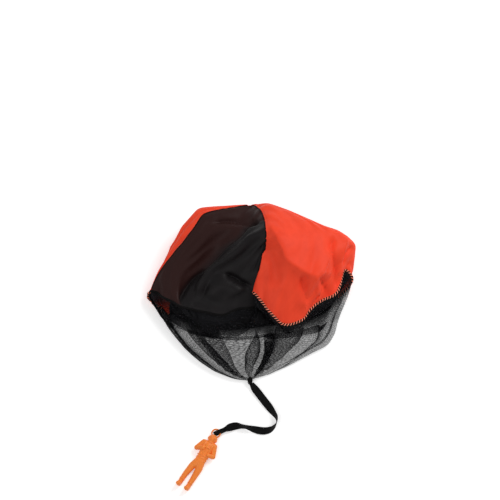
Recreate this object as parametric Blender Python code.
"""Toy parachute: a round canopy of four panels, a tulle net gathered to a knot, a strap and a jumper.

The canopy and the net are two discs of one radius, sewn together at the rim. The parachute lies on
its side, still holding its air: the canopy at +Y, the net drawn in to the knot at -Y, then the strap
and the little moulded jumper lying on its back. Metres, +Z up, the table at height 0, and the origin
on the table under the middle of the canopy.
"""

import math

import bmesh
import bpy
from mathutils import Matrix, Vector, geometry

# Cloth
CANOPY_RADIUS = 0.210
CLOTH_THICKNESS = 0.0008
NET_THICKNESS = 0.0005
CLOTH_FLATTENING = 0.0005
SEAM_WIDTH = 0.0026
RIM_CORD_RADIUS = 0.0012
CLEARANCE = 0.0003
EDGE_CLEARANCE = 0.0006
PANEL_START = 0.0070
SEAM_START = 0.0030
NET_NECK_RADIUS = 0.0026

# Knot where the net is gathered
KNOT_RADIUS = 0.0045
KNOT_PLACE_SHARES = (0.0, -0.70)

# Strap
STRAP_WIDTH = 0.0110
STRAP_THICKNESS = 0.0010
STRAP_STEP = 0.0022
LOOP_WIDTH = 0.0054
LOOP_LENGTH = 0.0090
LOOP_BORE_RADIUS = 0.0022
LOOP_TURN = math.radians(24)
TACK_LENGTH = 0.0046
TACK_WIDTH = 0.0016
TACK_HEIGHT = 0.0006
TACK_ROUNDING = 0.0002

# Jumper, lying on its back with the ring at its head
JUMPER_LENGTH = 0.0920
JUMPER_TURN = math.radians(-120)
RING_RADIUS = 0.0060
RING_BAR_RADIUS = 0.0011
HEAD_RADIUS_SHARES = (0.072, 0.071)
HEAD_PLACE_SHARES = (0.132, -0.018, 0.073)

# The crown of the canopy, as shares of the canopy's radius from the origin
CROWN_SHARES = (0.014, 0.504, 0.200)

# How the cloth lies: for each turn of the disc from the left seam, the places a quarter, a half, three
# quarters and all of the way from crown to rim, then a quarter, a half and three quarters of the way
# from rim to knot. All are shares of the canopy's radius. Turns 0 to 0.5 lie on top, the rest beneath.
LIE_SHARES = (
    (0.000, (-0.27, 0.45, 0.238), (-0.43, 0.29, 0.238), (-0.61, 0.11, 0.167), (-0.70, -0.07, 0.071),
     (-0.63, -0.26, 0.062), (-0.48, -0.45, 0.052), (-0.28, -0.62, 0.038)),
    (0.031, (-0.23, 0.43, 0.252), (-0.41, 0.25, 0.243), (-0.58, 0.08, 0.181), (-0.66, -0.09, 0.110),
     (-0.57, -0.28, 0.086), (-0.43, -0.45, 0.071), (-0.24, -0.62, 0.048)),
    (0.062, (-0.20, 0.39, 0.262), (-0.37, 0.20, 0.224), (-0.52, 0.03, 0.190), (-0.57, -0.15, 0.133),
     (-0.50, -0.30, 0.105), (-0.37, -0.47, 0.086), (-0.20, -0.62, 0.057)),
    (0.125, (-0.12, 0.34, 0.267), (-0.26, 0.17, 0.200), (-0.36, -0.03, 0.176), (-0.41, -0.23, 0.152),
     (-0.34, -0.36, 0.124), (-0.26, -0.49, 0.095), (-0.14, -0.62, 0.057)),
    (0.156, (-0.08, 0.33, 0.286), (-0.19, 0.14, 0.271), (-0.28, -0.05, 0.219), (-0.30, -0.25, 0.157),
     (-0.25, -0.38, 0.124), (-0.17, -0.50, 0.095), (-0.10, -0.62, 0.057)),
    (0.188, (-0.03, 0.32, 0.310), (-0.11, 0.12, 0.319), (-0.17, -0.07, 0.243), (-0.18, -0.27, 0.162),
     (-0.14, -0.39, 0.129), (-0.10, -0.51, 0.100), (-0.06, -0.62, 0.057)),
    (0.219, (0.01, 0.34, 0.319), (0.00, 0.16, 0.352), (-0.03, -0.02, 0.271), (-0.07, -0.21, 0.195),
     (-0.04, -0.37, 0.143), (-0.02, -0.50, 0.110), (-0.03, -0.61, 0.062)),
    (0.250, (0.08, 0.41, 0.329), (0.11, 0.22, 0.429), (0.06, 0.06, 0.371), (-0.01, -0.11, 0.248),
     (0.04, -0.32, 0.181), (0.05, -0.48, 0.119), (0.01, -0.60, 0.062)),
    (0.312, (0.16, 0.45, 0.324), (0.28, 0.20, 0.429), (0.24, -0.04, 0.386), (0.15, -0.29, 0.224),
     (0.16, -0.39, 0.167), (0.12, -0.50, 0.100), (0.05, -0.60, 0.057)),
    (0.344, (0.20, 0.47, 0.305), (0.37, 0.24, 0.390), (0.37, -0.04, 0.352), (0.23, -0.36, 0.181),
     (0.21, -0.43, 0.133), (0.17, -0.51, 0.090), (0.08, -0.61, 0.052)),
    (0.375, (0.23, 0.48, 0.286), (0.44, 0.31, 0.343), (0.48, 0.01, 0.314), (0.36, -0.31, 0.181),
     (0.33, -0.41, 0.129), (0.26, -0.50, 0.086), (0.12, -0.61, 0.052)),
    (0.406, (0.23, 0.49, 0.267), (0.50, 0.33, 0.305), (0.58, 0.08, 0.271), (0.44, -0.20, 0.190),
     (0.42, -0.35, 0.133), (0.34, -0.47, 0.086), (0.15, -0.61, 0.048)),
    (0.438, (0.23, 0.50, 0.238), (0.55, 0.34, 0.257), (0.67, 0.15, 0.219), (0.59, -0.10, 0.171),
     (0.56, -0.28, 0.114), (0.43, -0.45, 0.076), (0.20, -0.59, 0.048)),
    (0.469, (0.21, 0.50, 0.200), (0.58, 0.33, 0.190), (0.72, 0.20, 0.148), (0.70, 0.02, 0.124),
     (0.63, -0.20, 0.081), (0.52, -0.41, 0.062), (0.25, -0.57, 0.038)),
    (0.500, (0.19, 0.50, 0.124), (0.52, 0.32, 0.076), (0.70, 0.15, 0.043), (0.66, -0.10, 0.043),
     (0.61, -0.29, 0.033), (0.49, -0.45, 0.024), (0.24, -0.59, 0.014)),
    (0.562, (0.12, 0.42, 0.067), (0.32, 0.22, 0.005), (0.43, -0.04, 0.000), (0.41, -0.26, 0.014),
     (0.40, -0.39, 0.005), (0.32, -0.49, 0.000), (0.17, -0.61, 0.005)),
    (0.625, (0.04, 0.41, 0.057), (0.11, 0.17, 0.000), (0.13, -0.10, 0.000), (0.11, -0.34, 0.014),
     (0.14, -0.44, 0.005), (0.11, -0.52, 0.000), (0.06, -0.62, 0.005)),
    (0.688, (-0.03, 0.41, 0.057), (-0.11, 0.17, 0.000), (-0.20, -0.11, 0.000), (-0.22, -0.38, 0.014),
     (-0.17, -0.47, 0.005), (-0.09, -0.56, 0.000), (-0.04, -0.63, 0.005)),
    (0.750, (-0.15, 0.46, 0.076), (-0.32, 0.24, 0.010), (-0.44, -0.05, 0.000), (-0.51, -0.30, 0.014),
     (-0.44, -0.42, 0.005), (-0.29, -0.55, 0.000), (-0.16, -0.63, 0.005)),
    (0.812, (-0.22, 0.49, 0.114), (-0.41, 0.32, 0.033), (-0.53, 0.05, 0.005), (-0.60, -0.23, 0.014),
     (-0.52, -0.38, 0.005), (-0.38, -0.52, 0.000), (-0.21, -0.63, 0.005)),
    (0.875, (-0.28, 0.51, 0.157), (-0.48, 0.38, 0.086), (-0.59, 0.14, 0.033), (-0.65, -0.18, 0.019),
     (-0.55, -0.35, 0.014), (-0.43, -0.50, 0.010), (-0.25, -0.63, 0.010)),
    (0.938, (-0.30, 0.49, 0.200), (-0.50, 0.36, 0.167), (-0.63, 0.15, 0.100), (-0.70, -0.13, 0.038),
     (-0.61, -0.31, 0.029), (-0.47, -0.48, 0.024), (-0.28, -0.63, 0.019)),
)

# Route of the strap's centre line from the knot to the loop, and how far it is rolled onto its edge
STRAP_ROUTE = (
    ((0.0021, -0.1516, 0.0047), 15),
    ((0.0068, -0.1590, 0.0042), 16),
    ((0.0116, -0.1653, 0.0036), 14),
    ((0.0168, -0.1722, 0.0030), 10),
    ((0.0217, -0.1788, 0.0028), 10),
    ((0.0264, -0.1852, 0.0034), 22),
    ((0.0306, -0.1913, 0.0044), 40),
    ((0.0348, -0.1975, 0.0055), 62),
    ((0.0380, -0.2034, 0.0061), 80),
    ((0.0382, -0.2096, 0.0062), 92),
    ((0.0358, -0.2152, 0.0062), 100),
    ((0.0316, -0.2194, 0.0060), 112),
    ((0.0261, -0.2219, 0.0053), 130),
    ((0.0195, -0.2226, 0.0042), 146),
    ((0.0130, -0.2218, 0.0038), 150),
    ((0.0064, -0.2205, 0.0048), 132),
    ((0.0000, -0.2190, 0.0060), 104),
    ((-0.0066, -0.2172, 0.0060), 74),
    ((-0.0130, -0.2157, 0.0048), 44),
    ((-0.0188, -0.2150, 0.0036), 20),
    ((-0.0240, -0.2156, 0.0034), 6),
    ((-0.0292, -0.2174, 0.0036), 0),
    ((-0.0345, -0.2199, 0.0036), 0),
)

# The jumper's body, as shares of its length: each joint's place along the body from the ring, to the side
# and above the table, then its half width and half height there; after that, the joints each bone links
BODY_SHARES = {
    "neck": (0.180, -0.018, 0.070, 0.048, 0.048),
    "chest": (0.270, -0.014, 0.070, 0.092, 0.065),
    "waist": (0.420, -0.018, 0.063, 0.074, 0.054),
    "hips": (0.520, -0.015, 0.065, 0.078, 0.060),
    "left_thigh": (0.630, 0.027, 0.054, 0.050, 0.050),
    "left_knee": (0.785, 0.051, 0.049, 0.043, 0.043),
    "left_ankle": (0.930, 0.070, 0.041, 0.037, 0.037),
    "left_heel": (0.985, 0.075, 0.043, 0.040, 0.040),
    "left_toe": (0.998, 0.077, 0.103, 0.037, 0.033),
    "right_thigh": (0.630, -0.059, 0.054, 0.050, 0.050),
    "right_knee": (0.785, -0.067, 0.049, 0.043, 0.043),
    "right_ankle": (0.935, -0.076, 0.041, 0.037, 0.037),
    "right_heel": (0.990, -0.078, 0.043, 0.040, 0.040),
    "right_toe": (1.003, -0.079, 0.103, 0.037, 0.033),
    "left_shoulder": (0.235, 0.074, 0.072, 0.048, 0.048),
    "left_elbow": (0.380, 0.146, 0.061, 0.037, 0.037),
    "left_hand": (0.345, 0.055, 0.128, 0.035, 0.030),
    "right_shoulder": (0.225, -0.097, 0.072, 0.048, 0.048),
    "right_elbow": (0.355, -0.209, 0.061, 0.037, 0.037),
    "right_hand": (0.450, -0.108, 0.092, 0.035, 0.033),
}
BODY_BONES = (
    ("neck", "chest"), ("chest", "waist"), ("waist", "hips"),
    ("hips", "left_thigh"), ("left_thigh", "left_knee"), ("left_knee", "left_ankle"),
    ("left_ankle", "left_heel"), ("left_heel", "left_toe"),
    ("hips", "right_thigh"), ("right_thigh", "right_knee"), ("right_knee", "right_ankle"),
    ("right_ankle", "right_heel"), ("right_heel", "right_toe"),
    ("chest", "left_shoulder"), ("left_shoulder", "left_elbow"), ("left_elbow", "left_hand"),
    ("chest", "right_shoulder"), ("right_shoulder", "right_elbow"), ("right_elbow", "right_hand"),
)

# How finely things are drawn, and where the panels' columns turn from even to crowded
QUARTER_STEPS = 16
TURN_STEPS = 4 * QUARTER_STEPS
PANEL_TURN = 1 / 4
CANOPY_STEPS = 16
NET_STEPS = 8
CROWDING_SHARE = 0.45
EVEN_SHARE = 0.5
BLEND_SHARE = 0.4
TINY_SHARE = 0.004
ROUND_STEPS = 20
BALL_RINGS = 12
RING_STEPS = 32
BAR_STEPS = 10
FUSE_SHARE = 0.45
THIN_SHARE = 0.05
SHARP_ANGLE = math.radians(60)

COLOURS = {
    "orange_nylon": ((0.90, 0.12, 0.045, 1.0), 0.55),
    "black_nylon": ((0.012, 0.011, 0.012, 1.0), 0.6),
    "black_thread": ((0.010, 0.010, 0.010, 1.0), 0.7),
    "black_tulle": ((0.020, 0.020, 0.022, 1.0), 0.8),
    "black_webbing": ((0.014, 0.015, 0.015, 1.0), 0.7),
    "orange_plastic": ((0.92, 0.20, 0.035, 1.0), 0.4),
}


def clear_scene():
    for old in list(bpy.data.objects):
        bpy.data.objects.remove(old, do_unlink=True)


def material(name):
    """One plain finish of the object, made once and shared."""
    finish = bpy.data.materials.get(name)
    if finish is None:
        colour, roughness = COLOURS[name]
        finish = bpy.data.materials.new(name)
        finish.use_nodes = True
        shader = finish.node_tree.nodes["Principled BSDF"]
        shader.inputs["Base Color"].default_value = colour
        shader.inputs["Roughness"].default_value = roughness
        shader.inputs["Metallic"].default_value = 0.0
    return finish


def add_object(name, data, finish):
    thing = bpy.data.objects.new(name, data)
    bpy.context.scene.collection.objects.link(thing)
    data.materials.append(material(finish))
    return thing


# A smooth curve through points

def slope(knots, points, i):
    low = max(i - 1, 0)
    high = min(i + 1, len(points) - 1)
    return (points[high] - points[low]) / (knots[high] - knots[low])


def smooth(knots, points, at):
    """The place at one knot value on a smooth curve through the points."""
    i = 0
    while i < len(knots) - 2 and at > knots[i + 1]:
        i += 1
    span = knots[i + 1] - knots[i]
    t = (at - knots[i]) / span
    start = points[i] * (2 * t ** 3 - 3 * t ** 2 + 1)
    end = points[i + 1] * (3 * t ** 2 - 2 * t ** 3)
    leave = slope(knots, points, i) * (span * (t ** 3 - 2 * t ** 2 + t))
    arrive = slope(knots, points, i + 1) * (span * (t ** 3 - t ** 2))
    return start + end + leave + arrive


# How the cloth lies

KNOT_CENTRE = Vector((*KNOT_PLACE_SHARES, 0.0)) * CANOPY_RADIUS + Vector((0, 0, KNOT_RADIUS))
CROWN = Vector(CROWN_SHARES) * CANOPY_RADIUS
LIE_TURNS = [row[0] + lap for lap in (-1, 0, 1) for row in LIE_SHARES]
CANOPY_KNOTS = (0.0, 0.25, 0.5, 0.75, 1.0)
NET_KNOTS = (1.0, 1.25, 1.5, 1.75, 2.0)


def neck(turn):
    """The net's gathered end: a small ring just short of the knot."""
    angle = turn * math.tau
    around = Vector((-math.cos(angle), 0, math.sin(angle))) * NET_NECK_RADIUS
    return KNOT_CENTRE + around + Vector((0, KNOT_RADIUS + CLEARANCE, 0))


def ribs(turn):
    """The places along one radius of the two discs at this turn, crown first and neck last."""
    rows = []
    for i in range(1, len(LIE_SHARES[0])):
        ring = [Vector(row[i]) * CANOPY_RADIUS for row in LIE_SHARES]
        rows.append(smooth(LIE_TURNS, ring * 3, turn))
    return [CROWN] + rows + [neck(turn)]


def canopy_place(way, turn):
    """A place on the canopy: way 0 at the crown and 1 at the rim."""
    return smooth(CANOPY_KNOTS, ribs(turn)[:5], way)


def net_place(way, turn):
    """A place on the net: way 1 at the rim and 2 at the neck."""
    return smooth(NET_KNOTS, ribs(turn)[4:], way)


def settle(point, lowest=0.0):
    """The cloth presses flat where it meets the table."""
    return Vector((point.x, point.y, max(point.z - CLOTH_FLATTENING, lowest)))


def both_faces(place, way, turn, thickness):
    """The outer and the inner face of the cloth at a place."""
    across = cross_direction(place, way, turn)[0]
    first = max(way - TINY_SHARE, 0.0 if place is canopy_place else 1.0)
    down = place(way + TINY_SHARE, turn) - place(first, turn)
    normal = down.cross(across).normalized()
    point = place(way, turn)
    return settle(point), settle(point - normal * thickness, thickness)


def cross_direction(place, way, turn):
    """The unit direction round the disc at a place, and metres for one whole turn there."""
    step = place(way, turn + TINY_SHARE) - place(way, turn - TINY_SHARE)
    return step.normalized(), step.length / (2 * TINY_SHARE)


def station(j):
    """The turn of one column of the cloth, columns lying closer together beside the seams."""
    quarter, i = divmod(j, QUARTER_STEPS)
    even = i / QUARTER_STEPS
    crowded = (1 - math.cos(math.pi * even)) / 2
    return (quarter + even + (crowded - even) * CROWDING_SHARE) / 4


RIM_LINE = [settle(canopy_place(1.0, station(j)), RIM_CORD_RADIUS) for j in range(TURN_STEPS)]


def rim_distance(point):
    """How far a point lies from the centre line of the rim cord."""
    nearest = []
    for a, b in zip(RIM_LINE, RIM_LINE[1:] + RIM_LINE[:1]):
        foot, share = geometry.intersect_point_line(point, a, b)
        nearest.append((point - a.lerp(b, min(max(share, 0.0), 1.0))).length)
    return min(nearest)


def way_back(place, turn, rim_side, thickness):
    """The way value nearest to the rim whose cloth stands clear of the rim cord."""
    way = 1.0
    need = RIM_CORD_RADIUS + EDGE_CLEARANCE
    while min(rim_distance(face) for face in both_faces(place, way, turn, thickness)) < need:
        way += rim_side * TINY_SHARE / 4
    return way


def seam_inset(way, seam_turn, side, margin):
    """How far round the disc a place stands that lies this far from the middle of a seam."""
    middle = canopy_place(way, seam_turn)
    inset = margin / cross_direction(canopy_place, way, seam_turn)[1]
    for _ in range(4):
        inset *= margin / (canopy_place(way, seam_turn + side * inset) - middle).length
    return inset


def sheet_object(name, rows, finish, ring=False):
    """A thin closed shell on a grid of outer and inner places; ring joins the ends of each row."""
    bm = bmesh.new()
    outer = [[bm.verts.new(pair[0]) for pair in row] for row in rows]
    inner = [[bm.verts.new(pair[1]) for pair in row] for row in rows]
    last = len(rows[0]) if ring else len(rows[0]) - 1
    for i in range(len(rows) - 1):
        for j in range(last):
            k = (j + 1) % len(rows[0])
            bm.faces.new((outer[i][j], outer[i + 1][j], outer[i + 1][k], outer[i][k]))
            bm.faces.new((inner[i][j], inner[i][k], inner[i + 1][k], inner[i + 1][j]))
    for i, way in ((0, 1), (-1, -1)):
        for j in range(last):
            k = (j + 1) % len(rows[0])
            bm.faces.new((outer[i][j], outer[i][k], inner[i][k], inner[i][j])[::way])
    if not ring:
        for i in range(len(rows) - 1):
            bm.faces.new((outer[i + 1][0], outer[i][0], inner[i][0], inner[i + 1][0]))
            bm.faces.new((outer[i][-1], outer[i + 1][-1], inner[i + 1][-1], inner[i][-1]))
    mesh = bpy.data.meshes.new(name)
    bm.to_mesh(mesh)
    bm.free()
    mesh.shade_smooth()
    mesh.set_sharp_from_angle(angle=SHARP_ANGLE)
    return add_object(name, mesh, finish)


# Canopy

def panel_turns(way, first_turn):
    """The turns of one panel's columns, standing clear of the seams beside it."""
    width = PANEL_TURN
    margin = SEAM_WIDTH / 2 + EDGE_CLEARANCE
    left = seam_inset(way, first_turn, 1, margin)
    right = seam_inset(way, first_turn + width, -1, margin)
    even = [first_turn + left + (width - left - right) * j / QUARTER_STEPS for j in range(QUARTER_STEPS + 1)]
    fixed = [first_turn + station(j) for j in range(QUARTER_STEPS)] + [first_turn + width]
    fixed[0] += left
    fixed[-1] -= right
    outer = min(max((way - EVEN_SHARE) / BLEND_SHARE, 0.0), 1.0)
    return [a * (1 - outer) + b * outer for a, b in zip(even, fixed)]


def canopy_ways(turn):
    """The way values of the rows from near the crown to the rim cord."""
    first = PANEL_START / CANOPY_RADIUS
    last = way_back(canopy_place, turn, -1, CLOTH_THICKNESS)
    return [first + (last - first) * i / CANOPY_STEPS for i in range(CANOPY_STEPS + 1)]


def canopy_panel(name, quarter, finish):
    first_turn = quarter * PANEL_TURN
    columns = []
    for j in range(QUARTER_STEPS + 1):
        column = []
        for way in canopy_ways(panel_turns(1.0, first_turn)[j]):
            turn = panel_turns(way, first_turn)[j]
            column.append(both_faces(canopy_place, way, turn, CLOTH_THICKNESS))
        columns.append(column)
    rows = [list(row) for row in zip(*columns)]
    return sheet_object(name, rows, finish)


def canopy_seam(name, quarter):
    """The overlocked joint of two panels, a narrow band from crown to rim."""
    turn = quarter * PANEL_TURN
    rows = []
    for way in [SEAM_START / CANOPY_RADIUS] + canopy_ways(turn):
        before = turn - seam_inset(way, turn, -1, SEAM_WIDTH / 2)
        after = turn + seam_inset(way, turn, 1, SEAM_WIDTH / 2)
        rows.append([both_faces(canopy_place, way, at, CLOTH_THICKNESS) for at in (before, turn, after)])
    return sheet_object(name, rows, "black_thread")


def rim_cord():
    """The overlocked edge that joins canopy and net all round."""
    curve = bpy.data.curves.new("rim_overlock", "CURVE")
    curve.dimensions = "3D"
    curve.bevel_depth = RIM_CORD_RADIUS
    curve.bevel_resolution = 1
    line = curve.splines.new("POLY")
    line.points.add(TURN_STEPS - 1)
    line.use_cyclic_u = True
    for point, place in zip(line.points, RIM_LINE):
        point.co = (*place, 1.0)
    return add_object("rim_overlock", curve, "black_thread")


def net_skirt():
    rows = [[] for _ in range(NET_STEPS + 1)]
    for j in range(TURN_STEPS):
        turn = station(j)
        first = way_back(net_place, turn, 1, NET_THICKNESS)
        for i in range(NET_STEPS + 1):
            way = first + (2.0 - first) * i / NET_STEPS
            rows[i].append(both_faces(net_place, way, turn, NET_THICKNESS))
    return sheet_object("net_skirt", rows, "black_tulle", ring=True)


# Knot, strap and loop

def hang(name, place, things):
    """Hangs things on an empty at the axis they swing about, leaving them where they are."""
    pivot = bpy.data.objects.new(name, None)
    bpy.context.scene.collection.objects.link(pivot)
    pivot.location = place
    for thing in things:
        thing.parent = pivot
        thing.matrix_parent_inverse = Matrix.Translation(place).inverted()


def knot():
    bm = bmesh.new()
    bmesh.ops.create_uvsphere(bm, u_segments=ROUND_STEPS, v_segments=BALL_RINGS, radius=KNOT_RADIUS)
    mesh = bpy.data.meshes.new("apex_knot")
    bm.to_mesh(mesh)
    bm.free()
    mesh.shade_smooth()
    thing = add_object("apex_knot", mesh, "black_thread")
    thing.location = KNOT_CENTRE
    return thing


def strap():
    """The free webbing, a flat band that rolls onto its edge where it turns."""
    points = [Vector(place) for place, _ in STRAP_ROUTE]
    rolls = [math.radians(roll) for _, roll in STRAP_ROUTE]
    knots = [0.0]
    for a, b in zip(points, points[1:]):
        knots.append(knots[-1] + (b - a).length)
    count = round(knots[-1] / STRAP_STEP)
    bm = bmesh.new()
    sections = []
    for i in range(count + 1):
        at = knots[-1] * i / count
        middle = smooth(knots, points, at)
        before = smooth(knots, points, max(at - STRAP_STEP / 2, 0.0))
        after = smooth(knots, points, min(at + STRAP_STEP / 2, knots[-1]))
        along = (after - before).normalized()
        level = along.cross(Vector((0, 0, 1))).normalized()
        side = Matrix.Rotation(smooth(knots, rolls, at), 3, along) @ level
        face = side.cross(along)
        half = side * (STRAP_WIDTH / 2)
        skin = face * (STRAP_THICKNESS / 2)
        corners = (middle + half + skin, middle - half + skin, middle - half - skin, middle + half - skin)
        lift = max(-min(corner.z for corner in corners), 0.0)
        sections.append([bm.verts.new(corner + Vector((0, 0, lift))) for corner in corners])
    for a, b in zip(sections, sections[1:]):
        for j in range(4):
            k = (j + 1) % 4
            bm.faces.new((a[j], a[k], b[k], b[j]))
    bm.faces.new(reversed(sections[0]))
    bm.faces.new(sections[-1])
    bmesh.ops.recalc_face_normals(bm, faces=bm.faces[:])
    mesh = bpy.data.meshes.new("strap")
    bm.to_mesh(mesh)
    bm.free()
    return add_object("strap", mesh, "black_webbing")


def loop_frame():
    """A frame at the ring's bar: X along the strap, Y along the bar, Z up."""
    turn = Matrix.Rotation(LOOP_TURN, 4, "Z")
    bar = Vector(STRAP_ROUTE[-1][0]) - turn @ Vector((LOOP_LENGTH + CLEARANCE, 0, 0))
    return Matrix.Translation(bar) @ turn


def strap_end_loop():
    """The strap's end, folded round the ring's bar and sewn back on itself."""
    outer = LOOP_BORE_RADIUS + STRAP_THICKNESS
    tail = STRAP_THICKNESS
    lean = math.acos((outer - tail) / LOOP_LENGTH)
    outline = [Vector((LOOP_LENGTH, 0, tail))]
    for i in range(ROUND_STEPS + 1):
        angle = lean + (math.tau - 2 * lean) * i / ROUND_STEPS
        outline.append(Vector((math.cos(angle) * outer, 0, math.sin(angle) * outer)))
    outline.append(Vector((LOOP_LENGTH, 0, -tail)))
    bm = bmesh.new()
    half = Vector((0, LOOP_WIDTH / 2, 0))
    face = bm.faces.new([bm.verts.new(point - half) for point in outline])
    grown = bmesh.ops.extrude_face_region(bm, geom=[face])
    moved = [item for item in grown["geom"] if isinstance(item, bmesh.types.BMVert)]
    bmesh.ops.translate(bm, verts=moved, vec=half * 2)
    bmesh.ops.recalc_face_normals(bm, faces=bm.faces[:])
    mesh = bpy.data.meshes.new("strap_end_loop")
    bm.to_mesh(mesh)
    bm.free()
    thing = add_object("strap_end_loop", mesh, "black_webbing")
    thing.matrix_world = loop_frame()
    bore_mesh = bpy.data.meshes.new("loop_bore")
    bm = bmesh.new()
    bmesh.ops.create_cone(bm, cap_ends=True, segments=RING_STEPS, radius1=LOOP_BORE_RADIUS,
                          radius2=LOOP_BORE_RADIUS, depth=LOOP_WIDTH * 2)
    bmesh.ops.rotate(bm, verts=bm.verts[:], cent=(0, 0, 0), matrix=Matrix.Rotation(math.pi / 2, 3, "X"))
    bm.to_mesh(bore_mesh)
    bm.free()
    bore = add_object("loop_bore", bore_mesh, "black_webbing")
    bore.matrix_world = loop_frame()
    bore.hide_render = True
    bore.display_type = "WIRE"
    cut = thing.modifiers.new("Bore", "BOOLEAN")
    cut.operation = "DIFFERENCE"
    cut.object = bore
    return thing


def loop_tack():
    """The bar of stitches that closes the loop."""
    bm = bmesh.new()
    bmesh.ops.create_cube(bm, size=1.0)
    bmesh.ops.scale(bm, verts=bm.verts[:], vec=(TACK_WIDTH, TACK_LENGTH, TACK_HEIGHT))
    bmesh.ops.bevel(bm, geom=bm.edges[:], offset=TACK_ROUNDING, segments=2, affect="EDGES")
    mesh = bpy.data.meshes.new("loop_tack")
    bm.to_mesh(mesh)
    bm.free()
    thing = add_object("loop_tack", mesh, "black_thread")
    outer = LOOP_BORE_RADIUS + STRAP_THICKNESS
    away = LOOP_LENGTH - TACK_WIDTH
    fall = (outer - STRAP_THICKNESS) * (LOOP_LENGTH - away) / LOOP_LENGTH
    height = STRAP_THICKNESS + fall + CLEARANCE + TACK_HEIGHT / 2
    thing.matrix_world = loop_frame() @ Matrix.Translation((away, 0, height))
    return thing


# Jumper

def jumper_frame():
    """A frame at the ring's centre: X from head to feet, Y to the jumper's right, Z up."""
    centre = loop_frame() @ Vector((-RING_RADIUS, 0, 0))
    return Matrix.Translation(centre) @ Matrix.Rotation(JUMPER_TURN, 4, "Z")


def on_body(along, side, height):
    """A place in the jumper's frame, given as shares of its length."""
    ring_height = loop_frame().translation.z
    return Vector((along, -side, height)) * JUMPER_LENGTH - Vector((0, 0, ring_height))


def add_ball(bm, place, half_width, half_height):
    """The vertices of a closed ball shape about a joint."""
    size = Matrix.Diagonal((half_width, half_width, half_height, 1))
    ball = bmesh.ops.create_uvsphere(bm, u_segments=ROUND_STEPS, v_segments=BALL_RINGS, radius=JUMPER_LENGTH,
                                     matrix=Matrix.Translation(place) @ size)
    return ball["verts"]


def add_limb(bm, start, end):
    """A closed limb that wraps the balls of two joints."""
    skin = []
    for joint in (start, end):
        skin += add_ball(bm, on_body(*joint[:3]), joint[3], joint[4])
    faces = list({face for vert in skin for face in vert.link_faces})
    bmesh.ops.delete(bm, geom=faces, context="FACES_ONLY")
    hull = bmesh.ops.convex_hull(bm, input=skin)
    inside = {item for item in hull["geom_interior"] if isinstance(item, bmesh.types.BMVert)}
    bmesh.ops.delete(bm, geom=list(inside), context="VERTS")


def add_ring(bm):
    """The closed ring that hangs on the strap's loop."""
    rings = []
    for i in range(RING_STEPS):
        turn = Matrix.Rotation(math.tau * i / RING_STEPS, 4, "Z")
        bar = turn @ Matrix.Translation((RING_RADIUS, 0, 0)) @ Matrix.Rotation(math.pi / 2, 4, "X")
        section = bmesh.ops.create_circle(bm, segments=BAR_STEPS, radius=RING_BAR_RADIUS, matrix=bar)
        rings.append(section["verts"])
    for a, b in zip(rings, rings[1:] + rings[:1]):
        for j in range(BAR_STEPS):
            k = (j + 1) % BAR_STEPS
            bm.faces.new((a[j], a[k], b[k], b[j]))


def jumper():
    """One soft plastic moulding: body, limbs, helmeted head and the hanging ring, fused together."""
    bm = bmesh.new()
    for a, b in BODY_BONES:
        add_limb(bm, BODY_SHARES[a], BODY_SHARES[b])
    add_ball(bm, on_body(*HEAD_PLACE_SHARES), *HEAD_RADIUS_SHARES)
    add_ring(bm)
    bmesh.ops.recalc_face_normals(bm, faces=bm.faces[:])
    mesh = bpy.data.meshes.new("jumper")
    bm.to_mesh(mesh)
    bm.free()
    mesh.shade_smooth()
    body = add_object("jumper", mesh, "orange_plastic")
    body.matrix_world = jumper_frame()
    fuse = body.modifiers.new("Fuse", "REMESH")
    fuse.mode = "VOXEL"
    fuse.voxel_size = RING_BAR_RADIUS * FUSE_SHARE
    fuse.use_smooth_shade = True
    thin = body.modifiers.new("Thin", "DECIMATE")
    thin.ratio = THIN_SHARE
    return body


clear_scene()
canopy_panel("canopy_black_top", 0, "black_nylon")
canopy_panel("canopy_orange_top", 1, "orange_nylon")
canopy_panel("canopy_black_under", 2, "black_nylon")
canopy_panel("canopy_orange_under", 3, "orange_nylon")
canopy_seam("seam_left", 0)
canopy_seam("seam_top", 1)
canopy_seam("seam_right", 2)
canopy_seam("seam_under", 3)
rim_cord()
net_skirt()
knot()
hang("strap_pivot", KNOT_CENTRE, (strap(), strap_end_loop(), loop_tack()))
hang("jumper_pivot", loop_frame().translation, (jumper(),))
